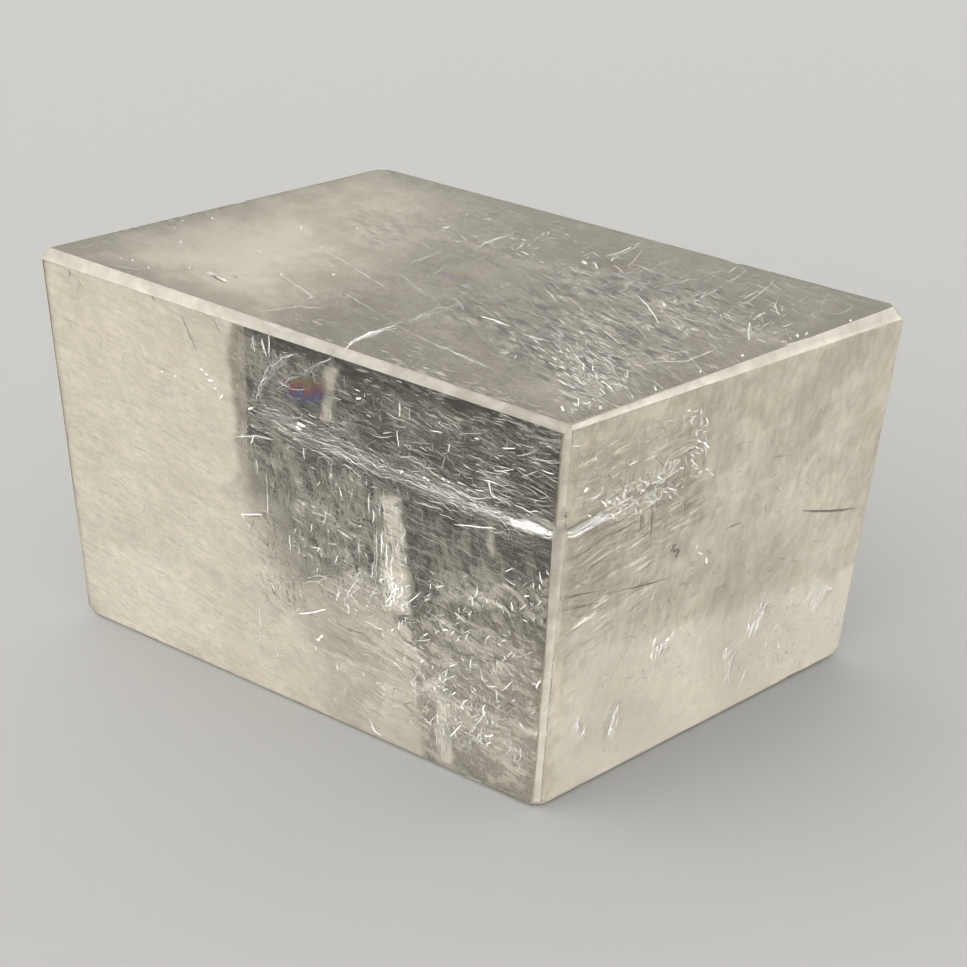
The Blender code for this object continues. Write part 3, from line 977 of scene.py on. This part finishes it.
# The cracks: where a parting opened again, the air in it shows as fine white lines and sparkles.
# They are drawn along lines of the photograph, as chains of flats a hair's breadth wide that lie
# nearly as they must to mirror the light. The dark ones are painted shade: dull dark strips where the cracks
# mirror dark surroundings.
STRAND_STEP = 4.0
PIXEL_WIDTH = 0.00012
NARROWEST = 0.3
SHALLOW = (0.0004, 0.0008)
WOBBLE_SCALE = 0.11
WAY_STRAY = 9
TURN_STRAY = 0.25
OVERLAP = 0.55
SURE_LEAN = 0.06
MOST_LEAN = 0.09
GLINTING = 0.07
FAINTEST = 0.22
FAINT_RANGE = 0.70
SURE_SHADES = (0.5, 1.0)
LINE_WOBBLE = 0.8
LINE_LEAN = 0.05
BESIDE_LINE = 0.6
BESIDE_REACH = (0.3, 0.7)
BESIDE_LEAN = 0.10
SPARKLE_ARMS = (0.4, 1.0)
SPARKLE_WIDTH = 0.8
SPARKLE_LEAN = 0.03


def run_lengths(path):
    return [(Vector(b) - Vector(a)).length for a, b in zip(path, path[1:])]


def along_path(path, share):
    """The place and the way of a path of pixels at a share of its length."""
    lengths = run_lengths(path)
    left = share * sum(lengths)
    for first, last, length in zip(path, path[1:], lengths):
        if left <= length:
            break
        left -= length
    run = (Vector(last) - Vector(first)).normalized()
    return Vector(first) + run * min(left, length), run


def strip(draw, face, pixels, width, lean):
    """A strip along some pixels, with its own width and depth, and how far its flats lean."""
    return face, pixels, width * draw.uniform(NARROWEST, 1.0), draw.uniform(*SHALLOW), lean


def bundle(draw, face, path, count, spread, width, reach, wobble, lean=0.16):
    """Strips along a path, each with its own start, length, offset and depth."""
    full = sum(run_lengths(path))
    strips = []
    for _ in range(count):
        share = draw.uniform(*reach)
        start = draw.uniform(0, 1 - share)
        offset = draw.gauss(0, spread)
        seed = draw.uniform(0, 99)
        steps = max(1, round(share * full / STRAND_STEP))
        pixels = []
        for i in range(steps + 1):
            middle, run = along_path(path, start + share * i / steps)
            stray = offset + wobble * noise.noise(Vector((seed, i * STRAND_STEP * WOBBLE_SCALE, 0)))
            pixels.append(middle + stray * Vector((-run.y, run.x)))
        strips.append(strip(draw, face, pixels, width, lean))
    return strips


def scribble(draw, face, corners, count, ways, lengths, width, bend, lean=0.22):
    """Short bent strips all over a patch, each along one of some ways of the photograph."""
    strips = []
    for _ in range(count):
        pixel = in_patch(corners, draw.random(), draw.random(), draw.random())
        way = math.radians(draw.choice(ways) + draw.gauss(0, WAY_STRAY))
        length = lengths[0] + (lengths[1] - lengths[0]) * draw.random() ** 3
        turn = bend * draw.gauss(0, TURN_STRAY)
        pixels = [pixel]
        for _ in range(max(1, round(length / STRAND_STEP))):
            pixel = pixel + STRAND_STEP * Vector((math.cos(way), math.sin(way)))
            way += turn + bend * draw.gauss(0, TURN_STRAY)
            pixels.append(pixel)
        strips.append(strip(draw, face, pixels, width, lean))
    return strips


def drawn(draw, face, *lines):
    """One strip along each line, and two thinner ones that keep it company."""
    strips = []
    for width, *path in lines:
        thin = BESIDE_LINE * width
        strips += bundle(draw, face, path, 1, 0.0, width, (1.0, 1.0), LINE_WOBBLE, LINE_LEAN)
        strips += bundle(draw, face, path, 2, thin, thin, BESIDE_REACH, LINE_WOBBLE, BESIDE_LEAN)
    return strips


def sparkles(draw, face, size, *middles):
    """Three short strips crossed at each place."""
    strips = []
    for middle in middles:
        for _ in range(3):
            way = draw.uniform(0, math.pi)
            arm = Vector((math.cos(way), math.sin(way))) * size * draw.uniform(*SPARKLE_ARMS)
            pixels = [Vector(middle) - arm, Vector(middle) + arm]
            strips.append((face, pixels, SPARKLE_WIDTH * size, draw.uniform(*SHALLOW), SPARKLE_LEAN))
    return strips


def draw_marks(draw, marks):
    """All the strips of a list of marks: how each is drawn, on which face, and what that asks for."""
    strips = []
    for make, *told in marks:
        strips += make(draw, *told)
    return strips


def strip_mesh(name, draw, strips):
    """Each strip as a chain of small flats, widest in the middle, that lean off the glint a little."""
    verts, faces, shades = [], [], []
    for face, pixels, width, depth, lean in strips:
        sure = lean <= SURE_LEAN or draw.random() < GLINTING
        lean = min(lean, MOST_LEAN)
        facing = glint_way(face, pixels[0]) + Vector([draw.gauss(0, lean) for _ in range(3)])
        shade = draw.uniform(*SURE_SHADES) if sure else FAINTEST + FAINT_RANGE * draw.random() ** 3
        places = [seen_at(pixel, face, depth) for pixel in pixels]
        wide = [0.5 * PIXEL_WIDTH * width * math.sin(math.pi * (i + 0.5) / len(places)) ** 0.5
                for i in range(len(places))]
        for one, other, first, last in zip(places, places[1:], wide, wide[1:]):
            turned = (facing + Vector([draw.gauss(0, 0.5 * lean) for _ in range(3)])).normalized()
            run = other - one
            run -= turned * run.dot(turned)
            side = turned.cross(run).normalized()
            middle = (one + other) / 2
            corners = (middle - OVERLAP * run - side * first, middle + OVERLAP * run - side * last,
                       middle + OVERLAP * run + side * last, middle - OVERLAP * run + side * first)
            if all(inside_stone(corner) for corner in corners):
                faces.append(tuple(range(len(verts), len(verts) + 4)))
                verts += corners
                shades += [shade] * 4
    return new_mesh(name, verts, faces, {"shade": shades})


MAIN_CRACK = ((243, 403), (254, 408), (273, 414), (299, 425), (319, 435), (339, 443), (367, 459), (381, 468),
              (411, 478), (450, 496), (473, 507), (500, 517), (525, 527), (560, 536))
ARCH = ((257, 402), (260, 388), (269, 370), (280, 357), (291, 352), (303, 357))
ARCH_INNER = ((266, 395), (276, 387), (289, 379), (305, 371), (321, 364), (335, 359))
NEAR_LENS = ((505, 518), (528, 526), (545, 532), (562, 535))
RIGHT_LENS = ((566, 535), (575, 533), (586, 526), (598, 519), (612, 512))
TOP_CRACK = ((343, 350), (352, 341), (368, 334), (385, 328), (403, 323))
TOP_CRACK_TAIL = ((400, 323), (418, 316), (435, 310), (465, 304))
FOOT_CURVE = ((220, 605), (243, 592), (280, 578), (312, 573), (340, 569), (368, 562))
SCRIBBLED_ARCH = ((335, 607), (342, 597), (349, 588), (358, 579), (366, 575), (370, 588),
                  (367, 600), (352, 608))
COLUMN = ((378, 494), (376, 520), (375, 560), (376, 600))
CRACK_KNOT = ((296, 424), (303, 428))
FLARE = ((436, 700), (442, 730), (446, 762))
FLARE_HEAD = ((420, 676), (450, 676), (448, 698), (422, 694))
FRONT_BAND = ((240, 335), (560, 445), (555, 520), (240, 400))
BAND_NEAR_EDGE = ((430, 430), (570, 450), (560, 545), (430, 500))
BELOW_CRACK = ((240, 430), (400, 480), (380, 560), (245, 600))
FRONT_LOW = ((330, 570), (550, 560), (540, 770), (380, 710))
SMEAR = ((210, 610), (400, 600), (420, 720), (200, 640))
FRONT_FAR = ((60, 280), (235, 330), (245, 640), (95, 600))
RIGHT_HIGH = ((570, 450), (700, 405), (690, 500), (565, 530))
RIGHT_KNOT = ((636, 480), (680, 456), (690, 486), (644, 508))
LENS_TAIL = ((588, 496), (645, 484), (648, 508), (575, 528))
RIGHT_SPRAY = ((684, 408), (712, 403), (712, 474), (686, 478))
RIGHT_ALL = ((570, 440), (885, 335), (835, 640), (548, 780))
RIGHT_LOW = ((760, 600), (845, 570), (838, 645), (740, 680))
TOP_MIDDLE = ((420, 290), (640, 250), (780, 345), (570, 415))
TOP_CORNER = ((500, 330), (620, 320), (650, 380), (560, 415))
TOP_RIGHT = ((560, 240), (880, 300), (760, 340), (600, 290))
TOP_FAR = ((70, 248), (385, 175), (620, 240), (330, 330))
CORNER_TIP = ((490, 350), (600, 335), (640, 385), (562, 412))
RIGHT_TIP = ((700, 300), (800, 300), (800, 335), (720, 345))
TOP_BACK = ((400, 215), (560, 200), (640, 260), (440, 270))
FOOT_GLITTER = ((330, 590), (550, 570), (540, 760), (380, 710))
COLUMN_FOOT = ((380, 572), (410, 572), (414, 608), (380, 606))
DARK_FOOT = ((420, 600), (556, 600), (545, 730), (430, 700))
DARK_BAND = ((240, 340), (565, 445), (556, 560), (240, 540))
DARK_RIGHT = ((570, 450), (860, 350), (840, 600), (560, 700))
DARK_TOP = ((420, 290), (640, 250), (820, 335), (570, 415))
FRONT_LINES = (
    (1.5, (252, 335), (254, 351)), (1.4, (261, 338), (266, 356)), (1.3, (268, 335), (269, 356)),
    (1.4, (256, 459), (257, 473)), (2.2, (266, 471), (267, 495), (267, 521)),
    (1.3, (303, 448), (304, 459)), (1.4, (339, 487), (342, 500)), (1.3, (399, 402), (399, 416)),
    (1.6, (289, 535), (290, 553)), (2.2, (231, 437), (254, 435), (275, 439)),
    (1.6, (241, 514), (261, 514)), (1.2, (241, 514), (249, 527)),
    (1.6, (454, 524), (475, 526), (495, 528)), (2.0, (488, 480), (491, 494), (500, 500)),
    (1.6, (298, 613), (312, 612), (326, 609)), (1.5, (259, 607), (260, 625)),
    (1.2, (260, 635), (260, 655)), (2.0, (394, 662), (401, 669)), (1.6, (415, 682), (415, 701)),
    (2.0, (484, 712), (476, 724), (470, 735)), (2.0, (482, 724), (479, 742), (489, 747)),
    (2.0, (369, 719), (374, 731), (381, 735)))
RIGHT_LINES = (
    (1.5, (570, 447), (581, 445)), (1.5, (701, 409), (705, 425)), (1.8, (703, 440), (704, 469)),
    (1.3, (683, 414), (685, 425)), (1.3, (685, 457), (687, 467)),
    (1.8, (650, 492), (660, 480), (678, 466)), (1.8, (618, 505), (625, 494), (632, 485)),
    (1.6, (643, 501), (655, 501)), (1.6, (687, 569), (701, 564)), (2.0, (860, 493), (858, 506)))
TOP_LINES = (
    (1.2, (281, 274), (315, 298)), (1.2, (320, 247), (389, 289)), (1.1, (345, 293), (391, 321)),
    (1.5, (380, 315), (403, 329), (456, 354), (522, 382)), (1.1, (403, 276), (426, 295)),
    (1.8, (408, 264), (442, 249)), (2.2, (472, 249), (492, 240), (513, 233)),
    (1.8, (529, 247), (541, 235)), (2.0, (605, 256), (624, 250), (644, 240)),
    (1.6, (522, 334), (550, 341)), (1.6, (674, 315), (715, 326), (724, 331)),
    (1.2, (642, 364), (658, 361), (685, 361), (722, 346)),
    (1.2, (260, 311), (283, 308), (299, 306), (329, 308)), (2.4, (263, 318), (290, 329)),
    (1.2, (109, 264), (141, 270)), (3.0, (481, 316), (495, 320), (509, 326)))
RIGHT_CLUSTERS = (
    (((822, 578), (816, 596), (810, 612)), 30), (((842, 600), (834, 628)), 22),
    (((768, 598), (758, 616), (748, 640)), 26), (((664, 638), (654, 662)), 26),
    (((735, 645), (722, 688)), 20), (((618, 700), (606, 742)), 26), (((582, 716), (574, 744)), 16))
FRONT_CLUSTERS = (
    (((391, 498), (392, 560), (396, 612)), 44), (((478, 690), (480, 745)), 20),
    (((337, 664), (330, 700)), 10), (((268, 640), (262, 668)), 8))
DARK_FRONT_LINES = (
    (2.0, (69, 270), (69, 276)), (2.2, (77, 277), (81, 286)), (1.6, (150, 294), (155, 300)),
    (0.9, (178, 307), (187, 330), (196, 351)), (0.8, (210, 314), (221, 334)))
DARK_RIGHT_LINES = (
    (1.2, (652, 505), (650, 538)), (1.2, (641, 510), (639, 533)),
    (1.4, (607, 593), (639, 586), (664, 579), (682, 570)), (1.2, (563, 597), (600, 590)),
    (1.0, (563, 607), (602, 602)), (1.0, (561, 611), (586, 605)), (1.0, (568, 581), (586, 584)),
    (1.5, (724, 529), (742, 521)), (1.4, (712, 589), (728, 584)), (1.4, (766, 570), (772, 569)),
    (1.4, (790, 561), (796, 560)), (1.3, (779, 558), (785, 557)), (1.3, (772, 457), (788, 455)),
    (4.5, (802, 510), (828, 511), (854, 508)))
DARK_TOP_LINE = (3.0, (606, 322), (616, 326), (626, 331))

# The marks in the order in which they are drawn. A bundle is its path, how many strips, how far they
# spread, their width, their least and greatest share of the path, their wobble and their lean.
# A scribble is its patch, how many strips, their ways in degrees, their least and greatest length,
# their width, their bend and their lean. Sparkles are their size and their places.
WHITE_MARKS = (
    (bundle, "front", MAIN_CRACK, 170, 4.5, 0.9, (0.02, 0.14), 3.0, 0.16),
    (bundle, "front", MAIN_CRACK[8:], 40, 4.0, 0.9, (0.05, 0.25), 3.0, 0.12),
    (bundle, "front", MAIN_CRACK, 120, 13.0, 0.8, (0.02, 0.12), 4.0, 0.16),
    (bundle, "front", CRACK_KNOT, 6, 2.0, 4.0, (0.6, 1.0), 1.0, 0.03),
    (bundle, "front", ARCH, 24, 2.6, 0.75, (0.1, 0.4), 3.0, 0.08),
    (bundle, "front", ARCH_INNER, 16, 3.0, 0.5, (0.1, 0.4), 3.0, 0.08),
    (bundle, "front", NEAR_LENS, 34, 1.8, 1.4, (0.2, 0.7), 1.5, 0.06),
    (bundle, "right", RIGHT_LENS, 36, 1.8, 2.4, (0.2, 0.7), 1.5, 0.06),
    (bundle, "top", TOP_CRACK, 22, 1.4, 1.2, (0.2, 0.6), 2.0, 0.06),
    (bundle, "top", TOP_CRACK_TAIL, 12, 1.6, 0.8, (0.2, 0.5), 3.0, 0.08),
    (bundle, "front", FOOT_CURVE, 26, 4.5, 0.6, (0.05, 0.2), 3.0, 0.09),
    (bundle, "front", SCRIBBLED_ARCH, 30, 5.0, 0.6, (0.1, 0.3), 5.0, 0.08),
    (bundle, "front", COLUMN, 14, 1.6, 0.7, (0.1, 0.4), 1.5, 0.08),
    (bundle, "front", FLARE, 30, 6.0, 1.0, (0.1, 0.3), 3.0, 0.08),
    (scribble, "front", FLARE_HEAD, 40, (100, 60, 20), (4, 12), 1.1, 0.5, 0.08),
    (scribble, "front", FRONT_BAND, 150, (18, 20, 24, 95), (4, 24), 1.0, 0.4),
    (scribble, "front", BAND_NEAR_EDGE, 150, (14, 17, 20, 24), (4, 30), 1.1, 0.3),
    (scribble, "front", BELOW_CRACK, 120, (85, 95, 100, 20), (4, 22), 1.2, 0.3),
    (scribble, "front", FRONT_LOW, 420, (20, 80, 120, 150, 50), (4, 18), 1.3, 0.7),
    (scribble, "front", SMEAR, 78, (20, 100, 60), (4, 12), 1.2, 0.5),
    (scribble, "front", FRONT_FAR, 67, (55, 20, 95), (3, 9), 0.9, 0.5, 0.25),
    (scribble, "right", RIGHT_HIGH, 101, (-25, 95, 60), (4, 16), 1.1, 0.5),
    (scribble, "right", RIGHT_KNOT, 90, (-40, -50, 95, 20), (3, 11), 2.0, 0.7, 0.06),
    (scribble, "right", LENS_TAIL, 100, (-15, -40, 95, 40), (3, 9), 1.8, 0.7, 0.06),
    (scribble, "right", RIGHT_SPRAY, 80, (95, 80, -20, 40), (3, 9), 1.8, 0.7, 0.06),
    (scribble, "right", RIGHT_ALL, 179, (-20, 95, 50), (3, 10), 1.0, 0.5, 0.2),
    (scribble, "right", RIGHT_LOW, 60, (95, 100, -45), (3, 12), 2.4, 0.5, 0.06),
    (scribble, "top", TOP_MIDDLE, 470, (24, 27, 30, 33), (5, 36), 1.0, 0.3),
    (scribble, "top", TOP_CORNER, 300, (28, 32, 36), (4, 20), 1.4, 0.4),
    (scribble, "top", TOP_RIGHT, 200, (-25, -30, 28), (6, 30), 1.0, 0.3),
    (scribble, "top", TOP_FAR, 123, (5, 20, -30), (3, 14), 1.0, 0.4),
    (drawn, "front", *FRONT_LINES),
    (drawn, "right", *RIGHT_LINES),
    (drawn, "top", *TOP_LINES),
    (sparkles, "front", 2.2, (250, 408), (358, 398), (381, 466), (401, 471), (210, 380), (221, 396),
        (318, 639), (321, 636)),
    (sparkles, "front", 1.4, (201, 369), (206, 374), (215, 388), (218, 391), (162, 371), (175, 375)),
    (sparkles, "front", 3.0, (392, 584), (396, 589)),
    (sparkles, "right", 3.2, (586, 489), (696, 547), (706, 560), (700, 553), (667, 639), (657, 648),
        (694, 556), (703, 548), (665, 645), (672, 634), (651, 655), (829, 588), (759, 614)),
    (sparkles, "top", 1.5, (212, 218), (182, 220), (174, 227), (180, 241), (301, 227), (357, 228),
        (322, 247), (281, 274), (333, 274), (102, 254), (120, 258), (132, 260), (148, 267), (189, 267)),
    (sparkles, "top", 2.0, (600, 407), (632, 396), (655, 388), (700, 371), (742, 355), (783, 341),
        (790, 338), (797, 335), (806, 333), (850, 320)),
    (scribble, "top", CORNER_TIP, 110, (28, 32, 95, 10), (3, 10), 1.5, 0.6, 0.06),
    (scribble, "top", RIGHT_TIP, 50, (28, -30, 95, 10), (4, 14), 1.4, 0.6, 0.06),
    (scribble, "top", TOP_BACK, 60, (28, -30, 5), (3, 12), 1.3, 0.6, 0.06),
    (sparkles, "top", 2.6, (562, 408), (575, 404), (588, 402), (584, 262), (596, 266)),
    *((bundle, "right", path, count, 4.0, 2.2, (0.15, 0.5), 3.0, 0.06) for path, count in RIGHT_CLUSTERS),
    (scribble, "front", FOOT_GLITTER, 130, (20, 80, 120, 150, 50), (3, 9), 1.5, 0.7, 0.06),
    *((bundle, "front", path, count, 8.0, 0.9, (0.05, 0.25), 4.0, 0.06) for path, count in FRONT_CLUSTERS),
    (scribble, "front", COLUMN_FOOT, 50, (20, 95, 60, 140), (3, 9), 1.2, 0.6, 0.06),
)
# Painted shade: the dark marks are dull dark strips where the cracks mirror dark surroundings.
DARK_MARKS = (
    (bundle, "front", MAIN_CRACK, 90, 6.0, 1.5, (0.03, 0.16), 3.0),
    (scribble, "front", DARK_FOOT, 60, (16, 20, 24), (5, 28), 1.3, 0.3),
    (scribble, "front", DARK_BAND, 200, (17, 20, 90), (5, 28), 1.2, 0.4),
    (scribble, "right", DARK_RIGHT, 40, (-18, -22, -26), (5, 22), 0.7, 0.3),
    (scribble, "top", DARK_TOP, 160, (24, 28, 32), (5, 36), 1.2, 0.3),
    (drawn, "front", *DARK_FRONT_LINES),
    (drawn, "right", *DARK_RIGHT_LINES),
    (sparkles, "right", 5.0, (673, 547), (675, 550), (677, 553)),
    (drawn, "top", DARK_TOP_LINE),
)
CRACKS = {
    "white_cracks": (WHITE_MARKS, 1.0, (0.085, 0.077, 0.060, 1.0), (0.95, 0.95, 0.95, 1.0)),
    "dark_cracks": (DARK_MARKS, 0.0, (0.12, 0.105, 0.08, 1.0), (0.30, 0.27, 0.22, 1.0)),
}
draw = random.Random(12)
strips = {name: draw_marks(draw, marks) for name, (marks, *_) in CRACKS.items()}
for name, (_, metal, dull, bright) in CRACKS.items():
    made = settle(name, strip_mesh(name, draw, strips[name]))
    made.data.materials.append(film_finish(name, metal, 0.3, dull, bright))

# The rainbow films: air films so thin that they show colours, one in the arch of the front crack
# and two under the top. Their upright streaks are cleavage steps across them.
RAINBOW = ((0.0, (0.26, 0.25, 0.17, 1)), (0.25, (0.40, 0.29, 0.13, 1)), (0.44, (0.44, 0.14, 0.12, 1)),
           (0.58, (0.30, 0.11, 0.24, 1)), (0.74, (0.14, 0.16, 0.46, 1)), (1.0, (0.24, 0.28, 0.38, 1)))
# Each film is its face, its patch of the photograph, how far through the rainbow it runs and its strength.
RAINBOW_PLACES = (
    ("front", ((280, 368), (330, 376), (330, 410), (280, 404)), 1.0, 0.62),
    ("top", ((598, 258), (646, 256), (644, 272), (596, 272)), 0.45, 0.35),
    ("top", ((436, 268), (480, 274), (480, 285), (436, 278)), 0.9, 0.30))
RAINBOW_CELL = 1.5
SPIKES_ACROSS = 0.30
SPIKES_DOWN = 0.05
BAND_SPIKE = 0.28
BAND_SAG = 0.25
EDGE_SPIKE = 0.35
EDGE_RIM = 2.2


def between(low, value, high):
    return min(high, max(low, value))


def rainbow_mesh(name, places):
    """Small sheets, each with its place in the rainbow and how strong it is there."""
    verts, faces, bands, films = [], [], [], []
    for face, corners, reach, strength in places:
        wide, high = grid_size(corners, RAINBOW_CELL)
        faces += grid_flats(wide, high, len(verts))
        for j in range(high + 1):
            for i in range(wide + 1):
                pixel = in_patch(corners, i / wide, i / wide, j / high)
                spike = noise.noise(Vector((pixel.x * SPIKES_ACROSS, pixel.y * SPIKES_DOWN, 5.0)))
                aside, down = 2 * i / wide - 1, 2 * j / high - 1
                band = reach * (0.5 + 0.5 * down + BAND_SPIKE * spike + BAND_SAG * aside**2)
                out = math.hypot(aside, down) + EDGE_SPIKE * spike
                verts.append(seen_at(pixel, face, SHALLOW[1]))
                bands.append(between(0.0, band, 1.0))
                films.append(strength * between(0.0, EDGE_RIM * (1.0 - out), 1.0))
    return new_mesh(name, verts, faces, {"band": bands, "film": films})


def thin_air():
    """The colours of a thin film, each as clear as the film is strong there."""
    material, tree, shader = new_material("thin_air", {"Metallic": 0.6, "Roughness": 0.35})
    ramp = add_node(tree, "ShaderNodeValToRGB", {"Fac": on_mesh(tree, "band")})
    stops = ramp.color_ramp.elements
    stops.remove(stops[1])
    stops[0].color = RAINBOW[0][1]
    for place, colour in RAINBOW[1:]:
        stops.new(place).color = colour
    join(tree, shader, {"Base Color": ramp.outputs["Color"], "Alpha": on_mesh(tree, "film")})
    return material


rainbow = settle("rainbow_films", rainbow_mesh("rainbow_films", RAINBOW_PLACES))
rainbow.data.materials.append(thin_air())

# The floor: a plain pale sheet of paper, a hair below the stone so that the two don't touch.
FLOOR_SIDE = 6.0
FLOOR_GAP = 0.0003
FLOOR_TINT = (0.372, 0.376, 0.386, 1.0)
bpy.ops.mesh.primitive_plane_add(size=FLOOR_SIDE, location=(0, 0, -FLOOR_GAP))
floor = bpy.context.object
floor.name = "floor"
floor.data.materials.append(new_material("paper", {"Base Color": FLOOR_TINT, "Roughness": 0.9})[0])

# The light: a soft pale sky, brightest low in front of the stone. It is so smooth that paths which
# happen to reach it light everything, and it isn't sampled by itself.
SKY_DIM = (0.98, 0.945, 0.87, 1.0)
SKY_BRIGHT = (3.7, 3.60, 3.36, 1.0)
world = bpy.data.worlds.new("studio")
bpy.context.scene.world = world
world.use_nodes = True
world.cycles.sampling_method = "NONE"
sky = world.node_tree
way = add_node(sky, "ShaderNodeTexCoord").outputs["Generated"]
ahead = maths(sky, "MAXIMUM", along(sky, way, GLOW_FROM), 0.0)
glow = blend(sky, maths(sky, "POWER", ahead, 2.0), SKY_DIM, SKY_BRIGHT)
join(sky, sky.nodes["Background"].inputs, {"Color": glow})

bpy.context.scene.view_settings.view_transform = "Standard"
path_limits = bpy.context.scene.cycles
path_limits.max_bounces = 16
path_limits.glossy_bounces = 14
path_limits.transmission_bounces = 14
path_limits.transparent_max_bounces = 16
path_limits.diffuse_bounces = 3
